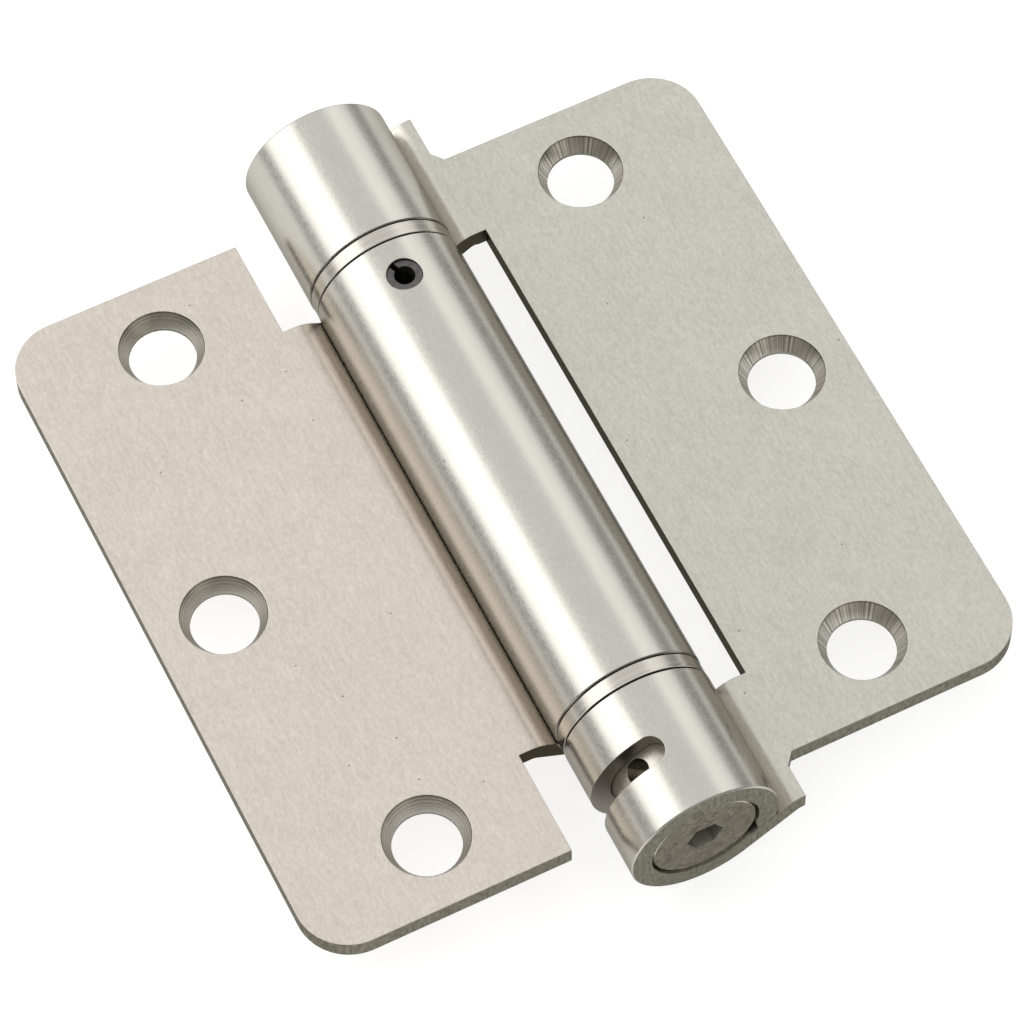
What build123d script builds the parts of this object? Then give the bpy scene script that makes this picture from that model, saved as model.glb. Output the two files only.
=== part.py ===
from build123d import *
import math
import os

# A full-mortise spring hinge, lying open and flat with its countersunk faces up.
# Millimetres. X runs across the leaves, Y along the barrel with the tension end at -Y,
# and Z is up. The barrel rests on Z = 0. Y is counted from the middle of the leaves here, and
# save() moves each piece along, so that in the files the middle of the barrel is at Y = 0.

# Leaves, folded and rolled from one thickness of sheet
leaf_height = 88.9
leaf_width = 44.45
sheet = 2.5
corner_radius = 6.35
closed_gap = 1.6
bend_from_barrel = 2.0
bend_radius = 1.2
notch_from_barrel = 4.6
slot_from_barrel = 4.5
tab_from_barrel = 3.3
relief_length = 1.45

# Barrel
barrel_radius = 9.2
barrel_length = 101.6
barrel_shift = 0.7
centre_knuckle_length = 62.4
seam_gap = 0.1
seam_contact = 2.8
seam_lean = 0.6
knuckle_edge = 0.15

# Screw holes, two near the barrel and one near the outer edge of each leaf
screw_hole_radius = 4.0
countersink_radius = 5.1
countersink_angle = 56
inner_hole_x = 27.4
middle_hole_x = 35.8
outer_hole_y = 35.6

# Bearing rings and fits
ring_thickness = 1.8
ring_inset = 0.08
ring_edge = 0.06
end_play = 0.15
running_clearance = 0.06
press_clearance = 0.02

# Roll pin through the wall of the centre knuckle
roll_pin_radius = 2.1
roll_pin_wall = 0.85
roll_pin_gap = 0.7
roll_pin_gap_angle = 113
roll_pin_fit = 0.05
roll_pin_inset = 0.35
roll_pin_depth = 13.3
roll_pin_from_end = 5.0

# Upper spring plug, the journals and their bushes
plug_length = 10.25
plug_fit = 0.05
bush_wall = 1.7
journal_past_bush = 0.7
journal_to_cap = 0.5
lower_bush_length = 4.0
cap_length = 4.3
cap_inset = 0.2
cap_edge = 0.4

# Tension ferrule in the bottom knuckle
ferrule_clearance = 0.09
ferrule_inset = 0.2
ferrule_edge = 0.35
ferrule_journal_length = 10.3
hex_across_flats = 4.0
hex_depth = 5.0
pin_hole_radius = 1.5
pin_hole_depth = 4.2
pin_hole_count = 4
pin_hole_angle = 130

# Slot in the bottom knuckle that shows the ferrule's pin holes
tension_slot_width = 3.5
tension_slot_start = 107.7
tension_slot_arc = 162

# Retaining ring on the ferrule's journal
clip_thickness = 0.8
clip_to_bore = 0.6
clip_groove_depth = 0.7
clip_groove_fit = 0.1
clip_mouth_angle = 70

# Torsion spring
wire_radius = 1.0
wire_flat_count = 6
coil_to_bore = 0.4
coil_to_spigot = 0.4
spring_turn_count = 18
turn_run_count = 12
spigot_length = 5.8
spring_seat_gap = 0.2
tang_fit = 0.15
tang_inset = 0.3

# Worked out from the sizes above
axis_z = barrel_radius
face_z = axis_z - closed_gap / 2
back_z = face_z - sheet
bore_radius = barrel_radius - sheet
bend_x = barrel_radius + bend_from_barrel
notch_x = barrel_radius + notch_from_barrel
slot_x = barrel_radius + slot_from_barrel
tab_x = barrel_radius + tab_from_barrel
journal_radius = bore_radius - bush_wall
clip_radius = bore_radius - clip_to_bore
coil_radius = bore_radius - coil_to_bore
spring_radius = coil_radius - wire_radius
spigot_radius = spring_radius - wire_radius - coil_to_spigot
leaf_half = leaf_height / 2
centre_end = centre_knuckle_length / 2
ring_inner_end = centre_end + end_play
ring_outer_end = ring_inner_end + ring_thickness
end_knuckle_start = ring_outer_end + end_play
upper_barrel_end = barrel_length / 2 + barrel_shift
lower_barrel_end = barrel_length / 2 - barrel_shift
roll_pin_y = centre_end - roll_pin_from_end
roll_pin_top = axis_z + barrel_radius - roll_pin_inset
roll_pin_bottom = roll_pin_top - roll_pin_depth
tension_slot_y = -(end_knuckle_start + lower_barrel_end) / 2
cap_top = upper_barrel_end - cap_inset
journal_top = cap_top - cap_length - journal_to_cap
plug_top = centre_end
plug_bottom = plug_top - plug_length
ferrule_shoulder = -(end_knuckle_start + end_play)
ferrule_journal_end = ferrule_shoulder + ferrule_journal_length
spring_low = ferrule_journal_end + spring_seat_gap + wire_radius
spring_high = plug_bottom - spring_seat_gap - wire_radius
spring_pitch = (spring_high - spring_low) / spring_turn_count
barrel_axis = Axis((0, 0, axis_z), (0, -1, 0))

# The leaf dives from its bend along a line that just touches the barrel's bore from below
dive = math.asin(bore_radius / math.hypot(bend_x, closed_gap / 2)) - math.atan2(closed_gap / 2, bend_x)

# The roll's end is cut slantwise, so that it lies along the dive; a small V stays open at the bore
seam_tip = math.sqrt(barrel_radius**2 - (bore_radius - seam_gap) ** 2)
seam_heel = seam_tip - seam_contact
tip_turn = math.degrees(math.atan2(seam_tip, bore_radius - seam_gap))
mouth_turn = math.degrees(math.asin((seam_heel + seam_lean) / bore_radius))


def on_barrel(radius, angle):
    """A point at a radius and an angle round the barrel, as X and Z."""
    return radius * math.cos(math.radians(angle)), axis_z + radius * math.sin(math.radians(angle))


def radial_plane(angle):
    """The plane that holds the barrel's axis and points out at an angle."""
    turn = math.radians(angle)
    return Plane(
        origin=(0, 0, axis_z),
        x_dir=(math.cos(turn), 0, math.sin(turn)),
        z_dir=(-math.sin(turn), 0, math.cos(turn)),
    )


def knuckle_section(flat_to, plane):
    """The sheet's section: a flat, a dive under the barrel, and a roll round it to a seam."""
    dive_angle = math.degrees(dive) - 90
    touch_x, touch_z = on_barrel(bore_radius, dive_angle)
    heel = (
        touch_x + seam_heel * math.cos(dive) - seam_gap * math.sin(dive),
        touch_z + seam_heel * math.sin(dive) + seam_gap * math.cos(dive),
    )
    bend_back_x = bend_x + sheet * math.tan(dive / 2)
    with BuildSketch(plane) as section:
        with BuildLine():
            Polyline((flat_to, back_z), (flat_to, face_z), (bend_x, face_z), (touch_x, touch_z))
            CenterArc((0, axis_z), bore_radius, dive_angle, mouth_turn - 360)
            Polyline(on_barrel(bore_radius, dive_angle + mouth_turn), heel, on_barrel(barrel_radius, dive_angle + tip_turn))
            CenterArc((0, axis_z), barrel_radius, dive_angle + tip_turn, 360 - tip_turn)
            Polyline(on_barrel(barrel_radius, dive_angle), (bend_back_x, back_z), (flat_to, back_z))
        make_face()
        fillet(section.vertices().sort_by_distance((bend_x, face_z))[0], bend_radius + sheet)
        fillet(section.vertices().sort_by_distance((bend_back_x, back_z))[0], bend_radius)
    return section.sketch


def soften_ends(knuckle):
    """Break the outer edges at both ends of a knuckle."""
    chamfer(knuckle.edges().filter_by(GeomType.CIRCLE).group_by(SortBy.RADIUS)[-1], knuckle_edge)


def screw_holes(side):
    """Three countersunk holes through the leaf on one side."""
    places = [(inner_hole_x, outer_hole_y), (middle_hole_x, 0), (inner_hole_x, -outer_hole_y)]
    with Locations(*[(side * x, y, face_z) for x, y in places]):
        CounterSinkHole(screw_hole_radius, countersink_radius, 2 * sheet, countersink_angle)


def turned(*points):
    """A turned solid from half its section, given as radius and Y."""
    with BuildSketch(Plane.XY.offset(axis_z)) as half_section:
        with BuildLine():
            Polyline(*points, close=True)
        make_face()
    revolve(half_section.sketch, barrel_axis)


def radial_hole(angle, y, radius, start, end):
    """A round hole square to the barrel's axis, from one radius out to another."""
    x, z = on_barrel(start, angle)
    outward = (math.cos(math.radians(angle)), 0, math.sin(math.radians(angle)))
    with BuildSketch(Plane(origin=(x, y, z), x_dir=(0, 1, 0), z_dir=outward)) as mouth:
        Circle(radius)
    extrude(mouth.sketch, end - start, mode=Mode.SUBTRACT)


def save(piece, name):
    """Centre a finished piece on the barrel's middle, label it and write it out."""
    centred = piece.part.translate((0, -barrel_shift, 0), transform=True)
    centred.label = name
    export_step(centred, f"parts/{name}.step")


os.makedirs("parts", exist_ok=True)

# Leaf with the long centre knuckle, on the left
with BuildPart() as barrel_leaf:
    extrude(knuckle_section(notch_x, Plane.XZ), centre_end, both=True)
    soften_ends(barrel_leaf)
    mirror(about=Plane.YZ, mode=Mode.REPLACE)
    with BuildSketch(Plane.XY.offset(back_z)) as plate:
        with Locations((-(leaf_width + notch_x) / 2, 0)):
            Rectangle(leaf_width - notch_x, leaf_height)
        fillet(plate.vertices().group_by(Axis.X)[0], corner_radius)
    extrude(amount=sheet)
    screw_holes(-1)
    radial_hole(90, roll_pin_y, roll_pin_radius + roll_pin_fit, 0, barrel_radius + sheet)
save(barrel_leaf, "barrel_leaf")

# Leaf with the two end knuckles, on the right
with BuildPart() as end_knuckle_leaf:
    for start, end in ((-upper_barrel_end, -end_knuckle_start), (end_knuckle_start, lower_barrel_end)):
        extrude(knuckle_section(tab_x, Plane.XZ.offset(start)), end - start)
    soften_ends(end_knuckle_leaf)
    with BuildSketch(Plane.XY.offset(back_z)) as plate:
        with Locations(((leaf_width + slot_x) / 2, 0)):
            Rectangle(leaf_width - slot_x, leaf_height)
        fillet(plate.vertices().group_by(Axis.X)[-1], corner_radius)
        for side in (1, -1):
            with BuildLine():
                Polyline(
                    (tab_x, side * end_knuckle_start),
                    (slot_x, side * end_knuckle_start),
                    (slot_x, side * leaf_half),
                    (tab_x, side * (leaf_half + relief_length)),
                    close=True,
                )
            make_face()
    extrude(amount=sheet)
    screw_holes(1)
    with BuildSketch(radial_plane(tension_slot_start)):
        with Locations((bore_radius + sheet / 2, tension_slot_y)):
            Rectangle(2 * sheet, tension_slot_width)
    revolve(axis=barrel_axis, revolution_arc=tension_slot_arc, mode=Mode.SUBTRACT)
    for end_angle in (tension_slot_start, tension_slot_start + tension_slot_arc):
        radial_hole(end_angle, tension_slot_y, tension_slot_width / 2, bore_radius - sheet / 2, barrel_radius + sheet)
save(end_knuckle_leaf, "end_knuckle_leaf")

# Bearing rings between the knuckles
for side, name in ((1, "upper_bearing_ring"), (-1, "lower_bearing_ring")):
    with BuildPart() as bearing_ring:
        turned(
            (journal_radius + running_clearance, side * ring_inner_end),
            (barrel_radius - ring_inset, side * ring_inner_end),
            (barrel_radius - ring_inset, side * ring_outer_end),
            (journal_radius + running_clearance, side * ring_outer_end),
        )
        chamfer(bearing_ring.edges().filter_by(GeomType.CIRCLE).group_by(SortBy.RADIUS)[-1], ring_edge)
    save(bearing_ring, name)


def coil_point(turns):
    """A point on the spring's centre line, so many turns from its lower end."""
    x, z = on_barrel(spring_radius, 360 * turns)
    return x, spring_low + spring_pitch * turns, z


# Torsion spring: round wire with six flats, in straight runs, with a tang across the barrel at each end
with BuildPart() as torsion_spring:
    with BuildLine() as coil:
        Polyline(*[coil_point(i / turn_run_count) for i in range(spring_turn_count * turn_run_count + 1)])
    with BuildSketch(Plane(origin=coil.line @ 0, x_dir=(1, 0, 0), z_dir=coil.line % 0)):
        RegularPolygon(wire_radius, wire_flat_count)
    sweep(transition=Transition.RIGHT)
    for tang_y in (spring_low, spring_high):
        with BuildSketch(Plane(origin=(spring_radius, tang_y, axis_z), x_dir=(0, 1, 0), z_dir=(-1, 0, 0))):
            RegularPolygon(wire_radius, wire_flat_count)
        extrude(amount=spring_radius + spigot_radius - tang_inset)
save(torsion_spring, "torsion_spring")


def tang_slot(tip_y, depth):
    """A slot across a spigot's tip for the spring's tang; depth runs back along Y."""
    tip = Plane(origin=(0, tip_y, axis_z), x_dir=(1, 0, 0), z_dir=(0, math.copysign(1, depth), 0))
    with BuildSketch(tip) as slot:
        Rectangle(4 * spigot_radius, 2 * (wire_radius + tang_fit))
    extrude(slot.sketch, abs(depth), mode=Mode.SUBTRACT)


# Upper spring plug: pinned in the centre knuckle, with a journal for the top knuckle
with BuildPart() as upper_spring_plug:
    plug_radius = bore_radius - plug_fit
    spigot_tip = plug_bottom - spigot_length
    turned(
        (0, spigot_tip),
        (spigot_radius, spigot_tip),
        (spigot_radius, plug_bottom),
        (plug_radius, plug_bottom),
        (plug_radius, plug_top),
        (journal_radius, plug_top),
        (journal_radius, journal_top),
        (0, journal_top),
    )
    tang_slot(spigot_tip, spigot_length - spring_seat_gap / 2)
    pin_start = roll_pin_bottom - axis_z - roll_pin_fit
    radial_hole(90, roll_pin_y, roll_pin_radius + roll_pin_fit, pin_start, plug_radius + sheet)
save(upper_spring_plug, "upper_spring_plug")

# Roll pin: a split tube driven through the knuckle's wall into the plug
with BuildPart() as roll_pin:
    with BuildSketch(Plane.XY.offset(roll_pin_bottom)):
        with Locations((0, roll_pin_y)):
            Circle(roll_pin_radius)
            Circle(roll_pin_radius - roll_pin_wall, mode=Mode.SUBTRACT)
        gap = math.radians(roll_pin_gap_angle)
        mid_wall = roll_pin_radius - roll_pin_wall / 2
        gap_x = mid_wall * math.cos(gap)
        gap_y = roll_pin_y + mid_wall * math.sin(gap)
        with Locations(Location((gap_x, gap_y), roll_pin_gap_angle)):
            Rectangle(2 * roll_pin_wall, roll_pin_gap, mode=Mode.SUBTRACT)
    extrude(amount=roll_pin_depth)
save(roll_pin, "roll_pin")

# Bushes that carry the journals in the top knuckle and at the foot of the centre knuckle
bushes = {
    "upper_journal_bush": (end_knuckle_start, journal_top - journal_past_bush),
    "lower_journal_bush": (-centre_end, -centre_end + lower_bush_length),
}
for name, (low, high) in bushes.items():
    with BuildPart() as bush:
        turned(
            (journal_radius + running_clearance, low),
            (bore_radius - press_clearance, low),
            (bore_radius - press_clearance, high),
            (journal_radius + running_clearance, high),
        )
    save(bush, name)

# Cap pressed into the mouth of the top knuckle
with BuildPart() as top_knuckle_cap:
    cap_radius = bore_radius - press_clearance
    turned(
        (0, cap_top - cap_length),
        (cap_radius, cap_top - cap_length),
        (cap_radius, cap_top),
        (0, cap_top),
    )
    chamfer(top_knuckle_cap.edges().group_by(Axis.Y)[-1], cap_edge)
save(top_knuckle_cap, "top_knuckle_cap")

# Tension ferrule: a plug with a hexagon socket, pin holes, a grooved journal and a spigot
clip_low = -centre_end + lower_bush_length + end_play
with BuildPart() as tension_ferrule:
    ferrule_radius = bore_radius - ferrule_clearance
    ferrule_end = -lower_barrel_end + ferrule_inset
    groove_radius = journal_radius - clip_groove_depth
    groove_top = clip_low + clip_thickness + clip_groove_fit
    turned(
        (0, ferrule_end),
        (ferrule_radius - ferrule_edge, ferrule_end),
        (ferrule_radius, ferrule_end + ferrule_edge),
        (ferrule_radius, ferrule_shoulder),
        (journal_radius, ferrule_shoulder),
        (journal_radius, clip_low - clip_groove_fit),
        (groove_radius, clip_low - clip_groove_fit),
        (groove_radius, groove_top),
        (journal_radius, groove_top),
        (journal_radius, ferrule_journal_end),
        (spigot_radius, ferrule_journal_end),
        (spigot_radius, ferrule_journal_end + spigot_length),
        (0, ferrule_journal_end + spigot_length),
    )
    tang_slot(ferrule_journal_end + spigot_length, spring_seat_gap / 2 - spigot_length)
    with BuildSketch(Plane.XZ.offset(-ferrule_end)):
        with Locations((0, axis_z)):
            RegularPolygon(hex_across_flats / 2, 6, major_radius=False)
    extrude(amount=-hex_depth, mode=Mode.SUBTRACT)
    for i in range(pin_hole_count):
        hole_angle = pin_hole_angle + i * 360 / pin_hole_count
        radial_hole(hole_angle, tension_slot_y, pin_hole_radius, ferrule_radius - pin_hole_depth, barrel_radius)
save(tension_ferrule, "tension_ferrule")

# Retaining ring that keeps the ferrule from dropping out of the barrel
with BuildPart() as ferrule_retaining_ring:
    with BuildSketch(Plane.XZ.offset(-clip_low)):
        with BuildLine():
            mouth = clip_mouth_angle / 2
            inner = groove_radius + press_clearance
            CenterArc((0, axis_z), inner, mouth, 360 - clip_mouth_angle)
            Line(on_barrel(inner, -mouth), on_barrel(clip_radius, -mouth))
            CenterArc((0, axis_z), clip_radius, -mouth, clip_mouth_angle - 360)
            Line(on_barrel(clip_radius, mouth), on_barrel(inner, mouth))
        make_face()
    extrude(amount=-clip_thickness)
save(ferrule_retaining_ring, "ferrule_retaining_ring")
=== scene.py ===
# %% [markdown]
# # A spring door hinge in satin stainless steel
# This lesson dresses a CAD hinge for its photograph. The shapes come from the CAD model,
# and each step adds a finish, a detail too fine for CAD, or a part of the photo studio.
# Lengths are written in millimetres and multiplied by mm, because Blender works in metres.

# %% Load the hinge
import math

import bpy
from mathutils import Matrix, Vector


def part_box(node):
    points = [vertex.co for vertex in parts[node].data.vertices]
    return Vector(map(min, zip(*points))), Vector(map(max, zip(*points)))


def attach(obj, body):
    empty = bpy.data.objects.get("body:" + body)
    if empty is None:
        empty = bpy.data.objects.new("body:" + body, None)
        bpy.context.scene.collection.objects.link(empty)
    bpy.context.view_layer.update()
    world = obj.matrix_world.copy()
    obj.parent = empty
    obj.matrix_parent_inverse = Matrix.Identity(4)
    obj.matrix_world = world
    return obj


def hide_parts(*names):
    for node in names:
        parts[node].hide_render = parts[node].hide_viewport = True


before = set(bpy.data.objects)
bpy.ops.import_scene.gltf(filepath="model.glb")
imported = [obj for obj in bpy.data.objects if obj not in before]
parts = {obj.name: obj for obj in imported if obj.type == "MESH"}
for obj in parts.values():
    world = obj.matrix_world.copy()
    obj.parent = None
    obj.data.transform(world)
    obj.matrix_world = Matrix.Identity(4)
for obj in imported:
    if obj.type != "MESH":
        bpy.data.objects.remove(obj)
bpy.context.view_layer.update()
mm = 0.001
print("pieces:", sorted(parts))

# %% [markdown]
# Colours are given as sRGB hex values, but light is added up in linear values.
# One helper turns the first into the second. A second one adds a node to a tree, gives it its
# settings, and sets each input, or links it when the value is another node or its socket.
# An input goes by its name where no other has the same one, and else by its number. A Mix
# node's numbers are hard to keep in mind, so they get names here.

# %% Two small helpers
SHARE, NUMBER_A, NUMBER_B, VECTOR_A, VECTOR_B, COLOUR_A, COLOUR_B = 0, 2, 3, 4, 5, 6, 7


def linear(colour):
    """An sRGB hex colour as linear red, green, blue and alpha."""
    steps = [int(colour[i:i + 2], 16) / 255 for i in (1, 3, 5)]
    light = [c / 12.92 if c <= 0.04045 else ((c + 0.055) / 1.055) ** 2.4 for c in steps]
    return (*light, 1.0)


def add(tree, kind, inputs=None, **settings):
    """A new node with its settings; inputs are values, or the nodes or sockets to link."""
    node = tree.nodes.new(kind)
    for name, value in settings.items():
        setattr(node, name, value)
    for key, value in (inputs or {}).items():
        if isinstance(value, bpy.types.Node):
            value = next(socket for socket in value.outputs if socket.enabled)
        if isinstance(value, bpy.types.NodeSocket):
            tree.links.new(value, node.inputs[key])
        else:
            node.inputs[key].default_value = value
    return node


print("steel tone in linear light:", [round(c, 3) for c in linear("#C8C2B8")])

# %% [markdown]
# A finish is a node tree that ends in one Principled shader. Every finish here starts from
# the point on the piece in millimetres. Object coordinates are used, so the pattern stays put
# when a leaf swings. A Bevel node rounds the shading over the last 0.15 mm before an edge, as a
# real deburred edge is rounded, so each edge catches a thin line of light. It is less on the
# crisp turned pieces.

# %% Start and end a finish
relief_depth = 0.02


def start_finish(name, edge=0.15):
    """A new material: its tree, the place in mm, and the facing with soft edges."""
    material = bpy.data.materials.new(name)
    material.use_nodes = True
    tree = material.node_tree
    tree.nodes.clear()
    where = add(tree, "ShaderNodeTexCoord").outputs["Object"]
    place = add(tree, "ShaderNodeVectorMath", {0: where, "Scale": 1 / mm}, operation="SCALE")
    soft = add(tree, "ShaderNodeBevel", {"Radius": edge * mm}, samples=4)
    return material, tree, place, soft


def end_finish(tree, colour, roughness, height, strength, facing,
               metallic=1.0, tint="#FFFFFF", sunken=False):
    """The relief, the shader and the output. Where sunken, a high value is a hollow."""
    bump = add(tree, "ShaderNodeBump", {
        "Height": height, "Strength": strength, "Distance": relief_depth * mm,
        "Normal": facing}, invert=sunken)
    shader = add(tree, "ShaderNodeBsdfPrincipled", {
        "Base Color": colour, "Metallic": metallic, "Roughness": roughness, "Normal": bump,
        "Specular Tint": linear(tint)})
    add(tree, "ShaderNodeOutputMaterial", {"Surface": shader})


def dress(finish, *nodes):
    """Put a finish on the pieces that are named."""
    for node in nodes:
        parts[node].data.materials[0] = finish
    print(finish.name, "on", ", ".join(nodes))


print("a finish reads object coordinates, in steps of", mm, "m")

# %% [markdown]
# Two more facts tell one face of a piece from another: the direction that the surface faces,
# and the point's distance from the barrel's axis. A cut edge stands upright, an end faces
# along the barrel, and the roll is everything that lies at the barrel's own radius.

# %% Measure a point
axis_height = 9.2    # the barrel's axis above the hinge's underside


def measure(tree, place):
    """The direction that the surface faces as x, y and z, and the distance from the axis."""
    normal = add(tree, "ShaderNodeTexCoord").outputs["Normal"]
    facing = add(tree, "ShaderNodeSeparateXYZ", {0: normal}).outputs
    spoke = add(tree, "ShaderNodeVectorMath", {
        0: place, 1: (1.0, 0.0, 1.0), 2: (0.0, 0.0, -axis_height)}, operation="MULTIPLY_ADD")
    radius = add(tree, "ShaderNodeVectorMath", {0: spoke}, operation="LENGTH").outputs["Value"]
    return facing, radius


print("the barrel's axis is", axis_height, "mm above the hinge's underside")

# %% [markdown]
# The screw holes were countersunk on a press drill. On the right leaf the cutter chattered and
# left fine spokes down the cone; on the left leaf it left rings. Both need to know where a
# point lies in its own hole. The three holes of a leaf mirror each other, so the point is folded
# into one quarter of the leaf, where two centres are enough. The cone's own facing is worked out
# there too, because the CAD cone is made of flat facets.

# %% Find the place in a screw hole
leaf_middle = -0.7                # the leaves' middle along the barrel
middle_hole = (35.8, 0.0, 0.0)    # hole centres from the leaves' middle
end_hole = (27.4, 35.6, 0.0)
sink_radius = 5.1                 # the countersink at the leaf's face
sink_slope = math.radians(28)     # its wall, away from the vertical


def place_in_hole(tree, place):
    """The direction away from the hole's centre, the distance from it, and the cone's facing."""
    leaf_place = add(tree, "ShaderNodeVectorMath", {
        0: place, 1: (0.0, -leaf_middle, 0.0)}, operation="ADD")
    folded = add(tree, "ShaderNodeVectorMath", {0: leaf_place}, operation="ABSOLUTE")
    side = add(tree, "ShaderNodeVectorMath", {0: leaf_place}, operation="SIGN")
    along = add(tree, "ShaderNodeSeparateXYZ", {0: folded}).outputs["Y"]
    near_end = add(tree, "ShaderNodeMath", {0: along, 1: end_hole[1] / 2}, operation="GREATER_THAN")
    centre = add(tree, "ShaderNodeMix", {
        SHARE: near_end, VECTOR_A: middle_hole, VECTOR_B: end_hole}, data_type="VECTOR")
    offset = add(tree, "ShaderNodeVectorMath", {0: folded, 1: centre}, operation="SUBTRACT")
    level = add(tree, "ShaderNodeVectorMath", {0: side, 1: (1.0, 1.0, 0.0)}, operation="MULTIPLY")
    away = add(tree, "ShaderNodeVectorMath", {0: offset, 1: level}, operation="MULTIPLY")
    distance = add(tree, "ShaderNodeVectorMath", {0: away}, operation="LENGTH").outputs["Value"]
    outward = add(tree, "ShaderNodeVectorMath", {0: away}, operation="NORMALIZE")
    inward, upward = -math.cos(sink_slope), math.sin(sink_slope)
    cone = add(tree, "ShaderNodeVectorMath", {
        0: outward, 1: (inward, inward, 0.0), 2: (0.0, 0.0, upward)}, operation="MULTIPLY_ADD")
    facing = add(tree, "ShaderNodeVectorTransform", {0: cone},
                 vector_type="NORMAL", convert_from="OBJECT", convert_to="WORLD")
    return away, distance, facing


print("hole centres at", end_hole[:2], "and", middle_hole[:2], "mm from the leaf's middle")

# %% [markdown]
# The leaves are stainless sheet, blanked on a press, rolled, and rubbed with a fine belt. To the
# eye that gives a pale, slightly warm grey with soft reflections, a fine mottled grain a little
# longer along the barrel, a few dark pits, and duller sheared faces, darker partly as painted
# shade.
# The outside of the roll was burnished by its die: there it is more neutral and glossier.
# Real grain is about 0.05 mm, and is drawn 0.3 mm wide and 0.6 mm long so that it shows.
# The finish is built in layers, and the grain comes first: fine strokes, fainter streaks
# 0.5 mm wide and 3 mm long, and broad clouds 8 mm across from the belt.

# %% Grain of the sheet
roll_radius = 9.2    # the roll's outside, from the axis


def sheet_grain(tree, place, radius, pale, deep):
    """The metal's colour, the strokes, and where the burnished roll is."""
    fine = add(tree, "ShaderNodeVectorMath", {0: place, 1: (3.5, 1.7, 3.5)}, operation="MULTIPLY")
    strokes = add(tree, "ShaderNodeTexNoise", {
        "Vector": fine, "Scale": 1.0, "Detail": 2.0, "Roughness": 0.55})
    drawn = add(tree, "ShaderNodeVectorMath", {0: place, 1: (2.0, 0.35, 2.0)}, operation="MULTIPLY")
    streaks = add(tree, "ShaderNodeTexNoise", {"Vector": drawn, "Scale": 1.0, "Detail": 1.0})
    clouds = add(tree, "ShaderNodeTexNoise", {"Vector": place, "Scale": 0.12, "Detail": 2.0})
    blend = add(tree, "ShaderNodeMath", {0: clouds, 1: 0.25}, operation="MULTIPLY")
    for layer, weight in ((streaks, 0.3), (strokes, 0.85)):
        blend = add(tree, "ShaderNodeMath", {
            0: layer, 1: weight, 2: blend}, operation="MULTIPLY_ADD")
    sheet = add(tree, "ShaderNodeMix", {
        SHARE: blend, COLOUR_A: linear(deep), COLOUR_B: linear(pale)}, data_type="RGBA")

    # The burnish fades out where the leaf leaves the roll
    rolled = add(tree, "ShaderNodeMapRange", {
        "Value": radius, "From Min": roll_radius + 0.1, "From Max": roll_radius + 0.7,
        "To Min": 1.0, "To Max": 0.0})
    burnished = add(tree, "ShaderNodeMix", {
        SHARE: blend, COLOUR_A: linear("#B6B3AB"), COLOUR_B: linear("#C6C3BC")}, data_type="RGBA")
    metal = add(tree, "ShaderNodeMix", {
        SHARE: rolled, COLOUR_A: sheet, COLOUR_B: burnished}, data_type="RGBA")
    return metal, strokes, rolled


print("the roll's outside is", roll_radius, "mm from the axis")

# %% [markdown]
# A pit is a speck that the belt pulled out of the steel, 0.1 to 0.3 mm across. A Voronoi texture
# cuts the leaf into cells 3 mm wide, and each cell has a random colour. That works as a lottery
# ticket: only the cells that drew a high number get a dark dot.

# %% Pits
pit_chance = 0.05


def add_pits(tree, place, metal):
    """The metal with a dark dot in a few of the cells."""
    cells = add(tree, "ShaderNodeTexVoronoi", {
        "Vector": place, "Scale": 0.32}, voronoi_dimensions="2D")
    ticket = add(tree, "ShaderNodeSeparateXYZ", {0: cells.outputs["Color"]}).outputs["X"]
    chosen = add(tree, "ShaderNodeMath", {0: ticket, 1: 1 - pit_chance}, operation="GREATER_THAN")
    dot = add(tree, "ShaderNodeMapRange", {
        "Value": cells.outputs["Distance"], "From Min": 0.02, "From Max": 0.05,
        "To Min": 0.7, "To Max": 0.0})
    pit = add(tree, "ShaderNodeMath", {0: dot, 1: chosen}, operation="MULTIPLY")
    return add(tree, "ShaderNodeMix", {
        SHARE: pit, COLOUR_A: metal, COLOUR_B: linear("#4C4841")}, data_type="RGBA")


print("a pit in", pit_chance, "of the cells")

# %% [markdown]
# Wherever a press sheared the sheet, the metal is torn and duller, with tears 0.4 mm wide and
# 1 mm long that run through the thickness. That is the blanked outline and the knuckles' ends.
# These faces, and everything within the roll, are painted darker: on the sheared faces partly the
# torn metal's tone and partly painted shade, within the roll painted shade alone. How far a face
# points up or lengthways, from 0 to 1, tells them apart.

# %% Sheared faces, and painted shade within the roll
steep_facing = 0.35    # a steep face points up less than this
end_facing = 0.8       # an end points along the barrel more than this
outline_from = 12.0    # beyond this from the axis a steep face is the blanked outline
noise_span = {"From Min": 0.3, "From Max": 0.7}    # most of a noise texture lies between


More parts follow.
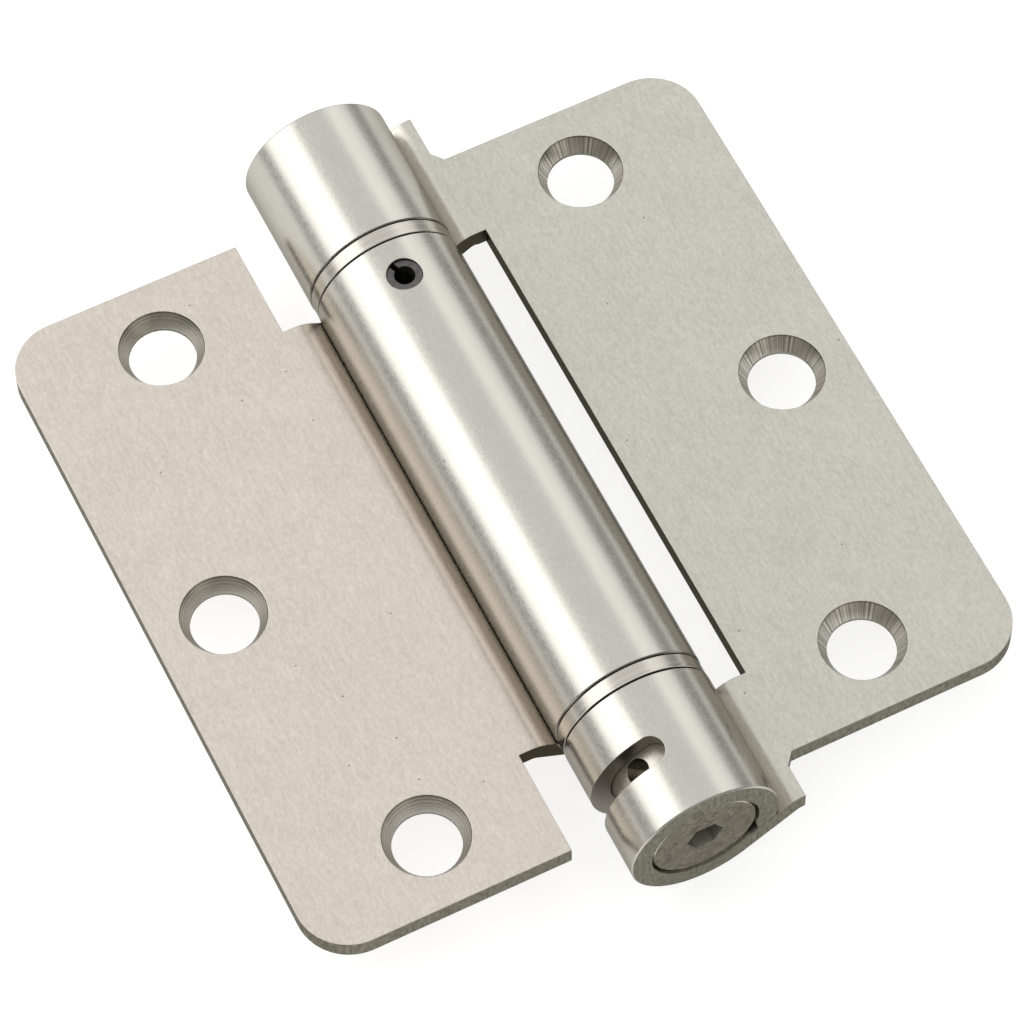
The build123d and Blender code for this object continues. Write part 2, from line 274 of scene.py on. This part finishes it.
def add_sheared_faces_and_shade(tree, place, facing, radius, metal):
    """The metal with sheared faces and painted shade, where these are, their tears, the steep faces
    and the ends.
    """
    upright = add(tree, "ShaderNodeMath", {0: facing["Z"]}, operation="ABSOLUTE")
    lengthways = add(tree, "ShaderNodeMath", {0: facing["Y"]}, operation="ABSOLUTE")
    steep = add(tree, "ShaderNodeMath", {0: upright, 1: steep_facing}, operation="LESS_THAN")
    outside = add(tree, "ShaderNodeMath", {0: radius, 1: outline_from}, operation="GREATER_THAN")
    blanked = add(tree, "ShaderNodeMath", {0: steep, 1: outside}, operation="MULTIPLY")
    ends = add(tree, "ShaderNodeMath", {0: lengthways, 1: end_facing}, operation="GREATER_THAN")
    # Everything within the roll gets the dark tone as painted shade.
    inside = add(tree, "ShaderNodeMath", {0: radius, 1: roll_radius - 0.2}, operation="LESS_THAN")
    either = add(tree, "ShaderNodeMath", {0: ends, 1: inside}, operation="MAXIMUM")
    cut_and_shaded = add(tree, "ShaderNodeMath", {0: blanked, 1: either}, operation="MAXIMUM")
    drawn = add(tree, "ShaderNodeVectorMath", {0: place, 1: (2.5, 2.5, 0.9)}, operation="MULTIPLY")
    tears = add(tree, "ShaderNodeTexNoise", {"Vector": drawn, "Scale": 1.0, "Detail": 3.0})
    hard = add(tree, "ShaderNodeMapRange", {"Value": tears, **noise_span})
    # The sheared faces' darker tone is partly the torn metal and partly painted shade.
    raw_and_shaded = add(tree, "ShaderNodeMix", {
        SHARE: hard, COLOUR_A: linear("#706D63"), COLOUR_B: linear("#949185")}, data_type="RGBA")
    colour = add(tree, "ShaderNodeMix", {
        SHARE: cut_and_shaded, COLOUR_A: metal, COLOUR_B: raw_and_shaded}, data_type="RGBA")
    return colour, cut_and_shaded, tears, steep, lengthways


print("blanked outline beyond", outline_from, "mm from the axis")

# %% [markdown]
# Painted shade darkens the hollows and joints of the barrel: a flat mid-grey in the tension slot
# and on the lips beside the bearing rings, a dark tone on the upright faces of the notches, and a
# soft grey-brown line along the crease where the leaf dives under the barrel.

# %% Painted shade in the slot, notches and crease
lip_facing = 0.3                        # a rounded lip points lengthways more than this
slot_place, slot_half = -42.4, 1.9      # the tension slot along the barrel, and half its width
ring_reach = 36.0                       # the rings lie nearer the leaves' middle than this
notch_centre, notch_half = 12.2, 2.9    # the notches from the axis, and half their depth
crease_x, crease_z = 9.0, 7.05          # the crease from the barrel's middle and the underside


def add_painted_shade(tree, place, radius, steep, lengthways, metal):
    """The metal with painted shade in the slot, on the lips, in the notches and along the crease.
    """
    along = add(tree, "ShaderNodeSeparateXYZ", {0: place}).outputs["Y"]
    at_slot = add(tree, "ShaderNodeMath", {
        0: along, 1: slot_place, 2: slot_half}, operation="COMPARE")
    below = add(tree, "ShaderNodeMath", {0: radius, 1: roll_radius - 0.05}, operation="LESS_THAN")
    in_slot = add(tree, "ShaderNodeMath", {0: at_slot, 1: below}, operation="MULTIPLY")
    leaning = add(tree, "ShaderNodeMath", {
        0: lengthways, 1: lip_facing}, operation="GREATER_THAN")
    at_rings = add(tree, "ShaderNodeMath", {
        0: along, 1: leaf_middle, 2: ring_reach}, operation="COMPARE")
    on_lip = add(tree, "ShaderNodeMath", {0: leaning, 1: at_rings}, operation="MULTIPLY")
    # Painted shade: a flat mid-grey in the tension slot and on the lips beside the rings.
    slot_and_lip_shade = add(tree, "ShaderNodeMath", {0: in_slot, 1: on_lip}, operation="MAXIMUM")
    slot_and_lips_shaded = add(tree, "ShaderNodeMix", {
        SHARE: slot_and_lip_shade, COLOUR_A: metal, COLOUR_B: linear("#96918A")}, data_type="RGBA")

    beside = add(tree, "ShaderNodeMath", {
        0: radius, 1: notch_centre, 2: notch_half}, operation="COMPARE")
    upright_there = add(tree, "ShaderNodeMath", {0: beside, 1: steep}, operation="MULTIPLY")
    # Painted shade: a dark tone on the upright faces of the notches.
    notch_shade = add(tree, "ShaderNodeMath", {0: upright_there, 1: at_rings}, operation="MULTIPLY")
    notches_shaded = add(tree, "ShaderNodeMix", {
        SHARE: notch_shade, COLOUR_A: slot_and_lips_shaded, COLOUR_B: linear("#4A463E")}, data_type="RGBA")

    folded = add(tree, "ShaderNodeVectorMath", {0: place}, operation="ABSOLUTE")
    from_crease = add(tree, "ShaderNodeVectorMath", {
        0: folded, 1: (1.0, 0.0, 1.0), 2: (-crease_x, 0.0, -crease_z)}, operation="MULTIPLY_ADD")
    gap = add(tree, "ShaderNodeVectorMath", {0: from_crease}, operation="LENGTH").outputs["Value"]
    # Painted shade: a soft grey-brown line along the crease under the barrel.
    crease_shade = add(tree, "ShaderNodeMapRange", {
        "Value": gap, "From Min": 0.1, "From Max": 0.5, "To Min": 0.35, "To Max": 0.0})
    return add(tree, "ShaderNodeMix", {
        SHARE: crease_shade, COLOUR_A: notches_shaded, COLOUR_B: linear("#7A705F")}, data_type="RGBA")


# The painted shade in the slot lies at this place along the barrel.
print("oil in the slot at", slot_place, "mm along the barrel")

# %% [markdown]
# The cutter marks come from one number that runs round the hole for spokes, or down it for
# rings, and goes through a noise texture in one dimension. The cone's top edge gets a thin dark
# ring of painted shade.

# %% Countersinks
spokes_per_radian, rings_per_mm = 16.0, 9.0
rim_shade_width = 0.13
cone_margin = 0.12    # how far a facet may face from the cone's slope


def add_countersinks(tree, place, facing, chatter, bore_deep, bore_pale, metal):
    """The metal with drilled cones and a painted shade ring at their top, where they are, their
    marks, and their facing.
    """
    away, distance, cone_facing = place_in_hole(tree, place)
    if chatter == "spokes":
        flat = add(tree, "ShaderNodeSeparateXYZ", {0: away}).outputs
        turn = add(tree, "ShaderNodeMath", {0: flat["Y"], 1: flat["X"]}, operation="ARCTAN2")
        ripple = add(tree, "ShaderNodeMath", {0: turn, 1: spokes_per_radian}, operation="MULTIPLY")
    else:
        depth = add(tree, "ShaderNodeSeparateXYZ", {0: place}).outputs["Z"]
        ripple = add(tree, "ShaderNodeMath", {0: depth, 1: rings_per_mm}, operation="MULTIPLY")
    marks = add(tree, "ShaderNodeTexNoise", {
        "W": ripple, "Scale": 1.0, "Detail": 1.0}, noise_dimensions="1D")
    in_cone = add(tree, "ShaderNodeMath", {
        0: facing["Z"], 1: math.sin(sink_slope), 2: cone_margin}, operation="COMPARE")
    near = add(tree, "ShaderNodeMath", {0: distance, 1: sink_radius + 0.3}, operation="LESS_THAN")
    sunk = add(tree, "ShaderNodeMath", {0: in_cone, 1: near}, operation="MULTIPLY")
    bored = add(tree, "ShaderNodeMix", {
        SHARE: marks, COLOUR_A: linear(bore_deep), COLOUR_B: linear(bore_pale)}, data_type="RGBA")
    drilled = add(tree, "ShaderNodeMix", {
        SHARE: sunk, COLOUR_A: metal, COLOUR_B: bored}, data_type="RGBA")
    # Painted shade: a thin dark ring at the top edge of each cone.
    at_rim = add(tree, "ShaderNodeMapRange", {
        "Value": distance, "From Min": sink_radius - rim_shade_width, "From Max": sink_radius})
    rim_shade = add(tree, "ShaderNodeMath", {0: at_rim, 1: sunk}, operation="MULTIPLY")
    colour = add(tree, "ShaderNodeMix", {
        SHARE: rim_shade, COLOUR_A: drilled, COLOUR_B: linear("#5A564D")}, data_type="RGBA")
    return colour, sunk, marks, cone_facing


print("countersinks", 2 * sink_radius, "mm across")

# %% [markdown]
# Now the layers go together. The sheet is satin, the roll glossier and smoother, the cuts dull,
# and the cones as bright as the cutter left them. Steel reflects less at a grazing angle than a
# perfect mirror does, which is what makes the flanks of the barrel dark. The shader's Specular
# Tint sets how much is left there.

# %% Satin stainless sheet
grazing = "#B2B0AB"


def satin_stainless(name, pale, deep, chatter, bore_deep, bore_pale):
    material, tree, place, soft = start_finish(name)
    facing, radius = measure(tree, place)
    metal, strokes, rolled = sheet_grain(tree, place, radius, pale, deep)
    metal = add_pits(tree, place, metal)
    metal, cut_and_shaded, tears, steep, lengthways = add_sheared_faces_and_shade(tree, place, facing, radius, metal)
    metal = add_painted_shade(tree, place, radius, steep, lengthways, metal)
    metal, sunk, marks, cone_facing = add_countersinks(
        tree, place, facing, chatter, bore_deep, bore_pale, metal)

    # Gloss
    satin = add(tree, "ShaderNodeMapRange", {
        "Value": strokes, **noise_span, "To Min": 0.3, "To Max": 0.4})
    gloss = add(tree, "ShaderNodeMapRange", {
        "Value": strokes, **noise_span, "To Min": 0.22, "To Max": 0.3})
    smooth = add(tree, "ShaderNodeMix", {SHARE: rolled, NUMBER_A: satin, NUMBER_B: gloss})
    dull = add(tree, "ShaderNodeMix", {SHARE: cut_and_shaded, NUMBER_A: smooth, NUMBER_B: 0.42})
    roughness = add(tree, "ShaderNodeMix", {SHARE: sunk, NUMBER_A: dull, NUMBER_B: 0.24})

    # Relief, on soft edges or on the true cone
    shallow = add(tree, "ShaderNodeMapRange", {"Value": rolled, "To Min": 1.0, "To Max": 0.45})
    sheet_height = add(tree, "ShaderNodeMath", {0: strokes, 1: shallow}, operation="MULTIPLY")
    height = add(tree, "ShaderNodeMix", {SHARE: cut_and_shaded, NUMBER_A: sheet_height, NUMBER_B: tears})
    relief = add(tree, "ShaderNodeMix", {SHARE: sunk, NUMBER_A: height, NUMBER_B: marks})
    surface = add(tree, "ShaderNodeMix", {
        SHARE: sunk, VECTOR_A: soft, VECTOR_B: cone_facing}, data_type="VECTOR")
    end_finish(tree, metal, roughness, relief, 0.35, surface, tint=grazing)
    return material


dress(satin_stainless("satin_stainless_left", "#E0D7CC", "#B2AAA0", "rings",
                      "#5F5B52", "#D2CEC4"), "barrel_leaf")
dress(satin_stainless("satin_stainless_right", "#CFCCC2", "#A4A097", "spokes",
                      "#4A463F", "#E6E2D8"), "end_knuckle_leaf")

# %% [markdown]
# The rings, the ferrule and the plugs are turned on a lathe. The tool leaves fine grooves
# that run round the barrel's axis: circles on an end face, and hoops on a round side. Both
# come from one number, the distance from the axis plus the place along it. Real grooves
# are about 0.08 mm apart, and are drawn 0.22 mm apart. An end face came off the parting tool and
# was knocked about in the works, which leaves blotches about 1 mm across. It is darker, partly
# as that metal is and partly as painted shade. The hexagon was broached, which leaves its flats
# torn and matt.

# %% Turned steel
groove = 0.22
socket_radius = 2.45    # just past the corners of the hexagon


def turned_steel(name, pale, deep, roughness):
    material, tree, place, soft = start_finish(name, edge=0.06)
    facing, radius = measure(tree, place)
    along = add(tree, "ShaderNodeSeparateXYZ", {0: place}).outputs["Y"]
    travel = add(tree, "ShaderNodeMath", {0: radius, 1: along}, operation="ADD")
    wobble = add(tree, "ShaderNodeTexNoise", {"Vector": place, "Scale": 0.8, "Detail": 2.0})
    step = add(tree, "ShaderNodeMath", {
        0: travel, 1: 1 / groove, 2: wobble}, operation="MULTIPLY_ADD")
    grooves = add(tree, "ShaderNodeTexNoise", {
        "W": step, "Scale": 1.0, "Detail": 2.0}, noise_dimensions="1D")
    side = add(tree, "ShaderNodeMix", {
        SHARE: grooves, COLOUR_A: linear(deep), COLOUR_B: linear(pale)}, data_type="RGBA")

    # End faces, knocked about and darker, partly as painted shade
    knocks = add(tree, "ShaderNodeTexNoise", {
        "Vector": place, "Scale": 0.9, "Detail": 5.0, "Roughness": 0.7, "Distortion": 1.2})
    blotches = add(tree, "ShaderNodeMapRange", {"Value": knocks, **noise_span})
    parted_and_shaded = add(tree, "ShaderNodeMix", {
        SHARE: blotches, COLOUR_A: linear("#605D53"), COLOUR_B: linear("#979388")},
        data_type="RGBA")
    lengthways = add(tree, "ShaderNodeMath", {0: facing["Y"]}, operation="ABSOLUTE")
    face = add(tree, "ShaderNodeMath", {0: lengthways, 1: end_facing}, operation="GREATER_THAN")
    turned = add(tree, "ShaderNodeMix", {
        SHARE: face, COLOUR_A: side, COLOUR_B: parted_and_shaded}, data_type="RGBA")

    # The hexagon's flats: near the axis, but no end face
    near_axis = add(tree, "ShaderNodeMath", {0: radius, 1: socket_radius}, operation="LESS_THAN")
    broached = add(tree, "ShaderNodeMath", {
        0: near_axis, 1: face}, operation="SUBTRACT", use_clamp=True)
    colour = add(tree, "ShaderNodeMix", {
        SHARE: broached, COLOUR_A: turned, COLOUR_B: linear("#C4C0B6")}, data_type="RGBA")

    # Gloss and relief
    polish = add(tree, "ShaderNodeMapRange", {
        "Value": grooves, **noise_span, "To Min": roughness - 0.04, "To Max": roughness + 0.06})
    dulled = add(tree, "ShaderNodeMix", {SHARE: face, NUMBER_A: polish, NUMBER_B: 0.36})
    rough = add(tree, "ShaderNodeMix", {SHARE: broached, NUMBER_A: dulled, NUMBER_B: 0.5})
    height = add(tree, "ShaderNodeMix", {SHARE: face, NUMBER_A: grooves, NUMBER_B: knocks})
    end_finish(tree, colour, rough, height, 0.35, soft, tint=grazing)
    return material


dress(turned_steel("turned_ring_steel", "#CFCBC2", "#ABA79E", 0.24),
      "upper_bearing_ring", "lower_bearing_ring")
dress(turned_steel("turned_ferrule_steel", "#D6D2C8", "#A8A49A", 0.28),
      "tension_ferrule", "upper_spring_plug", "top_knuckle_cap")

# %% [markdown]
# The split pin and the retaining clip are spring steel with a black oxide skin: almost black,
# with a dull oily sheen and a slight mottle, 0.7 mm across, where the skin is thinner. Their
# edges were tumbled round, so the Bevel node reaches 0.2 mm.

# %% Black oxide
def black_oxide(name):
    material, tree, place, soft = start_finish(name, edge=0.2)
    mottle = add(tree, "ShaderNodeTexNoise", {
        "Vector": place, "Scale": 1.4, "Detail": 4.0, "Roughness": 0.65})
    tone = add(tree, "ShaderNodeMix", {
        SHARE: mottle, COLOUR_A: linear("#3A3938"), COLOUR_B: linear("#777573")}, data_type="RGBA")
    rough = add(tree, "ShaderNodeMapRange", {
        "Value": mottle, **noise_span, "To Min": 0.3, "To Max": 0.45})
    end_finish(tree, tone, rough, mottle, 0.3, soft, metallic=0.85)
    return material


dress(black_oxide("black_oxide_spring_steel"), "roll_pin", "ferrule_retaining_ring")

# %% [markdown]
# The bushes are pressed from bronze powder and soaked in oil. The surface is a warm brown-gold
# with pores of about 0.1 mm, drawn 0.2 mm wide.

# %% Sintered bronze
def sintered_bronze(name):
    material, tree, place, soft = start_finish(name)
    grains = add(tree, "ShaderNodeTexVoronoi", {"Vector": place, "Scale": 2.5})
    pore = add(tree, "ShaderNodeMapRange", {
        "Value": grains.outputs["Distance"], "From Min": 0.1, "From Max": 0.3,
        "To Min": 1.0, "To Max": 0.0})
    tone = add(tree, "ShaderNodeMix", {
        SHARE: pore, COLOUR_A: linear("#B89361"), COLOUR_B: linear("#6B5334")}, data_type="RGBA")
    rough = add(tree, "ShaderNodeMapRange", {"Value": pore, "To Min": 0.38, "To Max": 0.7})
    end_finish(tree, tone, rough, pore, 0.4, soft, sunken=True)
    return material


dress(sintered_bronze("sintered_bronze"), "lower_journal_bush", "upper_journal_bush")

# %% [markdown]
# The spring is drawn wire, oiled: dark grey, smooth, with a thin film that pools over 1.4 mm.

# %% Oiled spring wire
def oiled_wire(name):
    material, tree, place, soft = start_finish(name)
    film = add(tree, "ShaderNodeTexNoise", {"Vector": place, "Scale": 0.7, "Detail": 3.0})
    tone = add(tree, "ShaderNodeMix", {
        SHARE: film, COLOUR_A: linear("#66635F"), COLOUR_B: linear("#94918C")}, data_type="RGBA")
    rough = add(tree, "ShaderNodeMapRange", {
        "Value": film, **noise_span, "To Min": 0.22, "To Max": 0.38})
    end_finish(tree, tone, rough, film, 0.2, soft)
    return material


wire_finish = oiled_wire("oiled_spring_wire")
print("oiled wire for the spring")

# %% [markdown]
# The CAD spring is drawn with flats, to keep the CAD light. Here it becomes the round wire that it
# is. A coil follows a rule, so Geometry Nodes make it: a straight line is cut into many
# points, each point is moved onto the coil by its share of the way, and a circle is swept along.
# Two straight tangs cross the barrel, and a ball closes each corner where a tang meets the coil.

# %% The coil's path
steps_per_turn = 28.0


def coil_path(tree, given):
    """A line that is wound round the barrel's axis."""
    way = add(tree, "GeometryNodeSplineParameter").outputs["Factor"]
    line = add(tree, "GeometryNodeCurvePrimitiveLine")
    count = add(tree, "ShaderNodeMath", {
        0: given["Turns"], 1: steps_per_turn}, operation="MULTIPLY")
    cut_line = add(tree, "GeometryNodeResampleCurve", {"Curve": line, "Count": count})
    turns_done = add(tree, "ShaderNodeMath", {0: way, 1: given["Turns"]}, operation="MULTIPLY")
    angle = add(tree, "ShaderNodeMath", {0: turns_done, 1: 2 * math.pi}, operation="MULTIPLY")
    cosine = add(tree, "ShaderNodeMath", {0: angle}, operation="COSINE")
    sine = add(tree, "ShaderNodeMath", {0: angle}, operation="SINE")
    across = add(tree, "ShaderNodeMath", {
        0: cosine, 1: given["Coil Radius"]}, operation="MULTIPLY")
    up = add(tree, "ShaderNodeMath", {
        0: sine, 1: given["Coil Radius"], 2: given["Axis Height"]}, operation="MULTIPLY_ADD")
    along = add(tree, "ShaderNodeMapRange", {
        "Value": way, "To Min": given["Low End"], "To Max": given["High End"]})
    on_coil = add(tree, "ShaderNodeCombineXYZ", {0: across, 1: along, 2: up})
    return add(tree, "GeometryNodeSetPosition", {"Geometry": cut_line, "Position": on_coil})


print("the coil has", steps_per_turn, "steps to a turn")

# %% [markdown]
# The tree adds the tangs and the balls, sweeps the wire, and ends in Realize Instances and
# Set Material, so that the result can become a plain mesh.

# %% Spring tree
wire_sides, ball_rings = 14, 8


def spring_tree(finish, sizes):
    tree = bpy.data.node_groups.new("wind_torsion_spring", "GeometryNodeTree")
    tree.interface.new_socket(name="Geometry", in_out="OUTPUT", socket_type="NodeSocketGeometry")
    for name in sizes:
        tree.interface.new_socket(name=name, in_out="INPUT", socket_type="NodeSocketFloat")
    given = add(tree, "NodeGroupInput").outputs
    runs = [coil_path(tree, given)]

    # A tang at each end, from its corner on the coil across the barrel
    corners = []
    for end in ("Low End", "High End"):
        corner = add(tree, "ShaderNodeCombineXYZ", {
            0: given["Coil Radius"], 1: given[end], 2: given["Axis Height"]})
        tip_x = add(tree, "ShaderNodeMath", {
            0: given["Coil Radius"], 1: given["Tang Length"]}, operation="SUBTRACT")
        tip = add(tree, "ShaderNodeCombineXYZ", {0: tip_x, 1: given[end], 2: given["Axis Height"]})
        runs.append(add(tree, "GeometryNodeCurvePrimitiveLine", {"Start": corner, "End": tip}))
        corners.append(corner)
    wires = add(tree, "GeometryNodeJoinGeometry")
    for run in reversed(runs):
        tree.links.new(run.outputs[0], wires.inputs[0])

    # The wire, and a ball at each corner
    circle = add(tree, "GeometryNodeCurvePrimitiveCircle", {
        "Resolution": wire_sides, "Radius": given["Wire Radius"]})
    swept = add(tree, "GeometryNodeCurveToMesh", {
        "Curve": wires, "Profile Curve": circle, "Fill Caps": True})
    ball = add(tree, "GeometryNodeMeshUVSphere", {
        "Segments": wire_sides, "Rings": ball_rings, "Radius": given["Wire Radius"]})
    both = add(tree, "GeometryNodeJoinGeometry")
    for corner in corners:
        spot = add(tree, "GeometryNodePoints", {"Count": 1, "Position": corner})
        placed = add(tree, "GeometryNodeInstanceOnPoints", {
            "Points": spot, "Instance": ball.outputs["Mesh"]})
        tree.links.new(placed.outputs[0], both.inputs[0])
    tree.links.new(swept.outputs[0], both.inputs[0])

    real = add(tree, "GeometryNodeRealizeInstances", {0: both})
    smooth = add(tree, "GeometryNodeSetShadeSmooth", {0: real, "Shade Smooth": True})
    dressed = add(tree, "GeometryNodeSetMaterial", {0: smooth, "Material": finish})
    add(tree, "NodeGroupOutput", {0: dressed})
    return tree


spring_sizes = {
    "Coil Radius": 5.3 * mm, "Wire Radius": 1.0 * mm, "Turns": 18.0, "Low End": -22.65 * mm,
    "High End": 19.05 * mm, "Tang Length": 8.9 * mm, "Axis Height": axis_height * mm}
winding = spring_tree(wire_finish, spring_sizes)
print("spring tree with", len(winding.nodes), "nodes")

# %% [markdown]
# The tree is run once on an empty mesh. Its inputs are the CAD spring's sizes, each set by the
# socket's identifier. The result becomes a plain mesh, which takes the CAD spring's place.

# %% Wind the spring
seed = bpy.data.objects.new("spring_seed", bpy.data.meshes.new("spring_seed"))
bpy.context.collection.objects.link(seed)
modifier = seed.modifiers.new("winding", "NODES")
modifier.node_group = winding
for socket in winding.interface.items_tree:
    if socket.in_out == "INPUT":
        modifier[socket.identifier] = spring_sizes[socket.name]
wound = seed.evaluated_get(bpy.context.evaluated_depsgraph_get())
shape = bpy.data.meshes.new_from_object(wound)
bpy.data.objects.remove(seed)
spring = bpy.data.objects.new("round_wire_spring", shape)
bpy.context.collection.objects.link(spring)
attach(spring, "barrel_side")
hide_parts("torsion_spring")
reach = [round(max(abs(v.co[i]) for v in shape.vertices) / mm, 2) for i in range(3)]
print("spring", len(shape.polygons), "faces; reach in mm", reach)
cad_spring = [[round(c / mm, 2) for c in corner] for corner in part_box("torsion_spring")]
print("CAD spring box in mm", cad_spring)

# %% [markdown]
# The hinge lies on a plain white floor. The floor is 0.2 mm lower than the hinge, so that the
# two faces never fight for the same place.

# %% Floor
floor_reach, floor_height = 1.5, -0.2 * mm
floor_corners = [(x * floor_reach, y * floor_reach, floor_height)
                 for x, y in ((-1, -1), (1, -1), (1, 1), (-1, 1))]
floor_mesh = bpy.data.meshes.new("floor")
floor_mesh.from_pydata(floor_corners, [], [(0, 1, 2, 3)])
floor = bpy.data.objects.new("floor", floor_mesh)
bpy.context.collection.objects.link(floor)
print("floor", 2 * floor_reach, "m wide")

# %% [markdown]
# To the camera and in the metal's reflections the floor gets a little light of its own, enough
# to read as white paper. The paper itself is plain and matt, and still takes a shadow.

# %% White paper
paper_glow = 0.75
paper = bpy.data.materials.new("white_paper")
paper.use_nodes = True
tree = paper.node_tree
tree.nodes.clear()
rays = add(tree, "ShaderNodeLightPath").outputs
seen = rays["Is Camera Ray"]
for kind in ("Is Glossy Ray", "Is Transmission Ray"):
    seen = add(tree, "ShaderNodeMath", {0: seen, 1: rays[kind]}, operation="ADD")
own_light = add(tree, "ShaderNodeMath", {0: seen, 1: paper_glow}, operation="MULTIPLY")
matt = add(tree, "ShaderNodeBsdfDiffuse", {"Color": linear("#ABABA9")})
glow = add(tree, "ShaderNodeEmission", {"Color": linear("#FFFFFF"), "Strength": own_light})
both = add(tree, "ShaderNodeAddShader", {0: matt, 1: glow})
add(tree, "ShaderNodeOutputMaterial", {"Surface": both})
floor_mesh.materials.append(paper)
print("white paper on the floor")

# %% [markdown]
# Two soft boxes make the pale bands along the barrel: a strong one high on the left and a
# weaker one high on the right. An area lamp's power is spread over its size, so the helper works
# the power out from how bright the box should look.

# %% Lamps
def soft_box(name, towards, distance, width, length, level):
    """An area lamp that faces the hinge. Level 1 looks as bright as white paper."""
    lamp = bpy.data.lights.new(name, "AREA")
    lamp.shape = "RECTANGLE"
    lamp.size = width
    lamp.size_y = length
    lamp.energy = level * math.pi * width * length
    box = bpy.data.objects.new(name, lamp)
    bpy.context.collection.objects.link(box)
    out = Vector(towards).normalized()
    across = Vector((-out.z, 0.0, out.x)).normalized()
    turned = Matrix((across, out.cross(across), out)).transposed()
    box.matrix_world = Matrix.LocRotScale(out * distance, turned, None)
    box.visible_camera = False


soft_box("soft_box_left", towards=(-0.65, 0.47, 0.61), distance=0.8,
         width=0.6, length=1.1, level=1.35)
soft_box("soft_box_right", towards=(0.68, 0.47, 0.57), distance=0.8,
         width=0.42, length=1.0, level=0.6)
print("two soft boxes")

# %% [markdown]
# Steel shows what stands round it, so the sky is bright overhead, a little to the back, and
# darker towards the front and the horizon.

# %% Sky
brightest = (-0.05, 0.35, 0.935)
horizon_level = 0.27
world = bpy.data.worlds.new("studio")
bpy.context.scene.world = world
world.use_nodes = True
tree = world.node_tree
tree.nodes.clear()
direction = add(tree, "ShaderNodeTexCoord").outputs["Generated"]
height = add(tree, "ShaderNodeVectorMath", {
    0: direction, 1: brightest}, operation="DOT_PRODUCT").outputs["Value"]
strength = add(tree, "ShaderNodeMapRange", {
    "Value": height, "From Min": 0.0, "From Max": 0.95,
    "To Min": horizon_level, "To Max": 1.0}, interpolation_type="SMOOTHSTEP")
sky = add(tree, "ShaderNodeBackground", {"Color": linear("#FFFFFF"), "Strength": strength})
add(tree, "ShaderNodeOutputWorld", {"Surface": sky})
print("sky from", horizon_level, "at the horizon to 1 overhead")

# %% [markdown]
# The camera stands where the photographer stood. Its place, direction and lens were found by
# matching the straight edges and screw holes of the photo, as a surveyor would.

# %% Camera
lens = bpy.data.cameras.new("camera")
lens.sensor_fit = "HORIZONTAL"
lens.sensor_width = 36.0
lens.lens = 189.46
lens.clip_start = 0.01
camera = bpy.data.objects.new("camera", lens)
bpy.context.collection.objects.link(camera)
right = Vector((0.89662, -0.44249, -0.01645))
down = Vector((-0.39104, -0.77384, -0.49826))
ahead = Vector((0.20775, 0.45319, -0.86687))
stand = Vector((-129.84, -285.71 + leaf_middle, 548.46)) * mm
turned = Matrix((right, -down, -ahead)).transposed()
camera.matrix_world = Matrix.LocRotScale(stand, turned, None)
bpy.context.scene.camera = camera
bpy.context.scene.view_settings.view_transform = "Standard"
print("camera at", [round(c, 3) for c in stand])
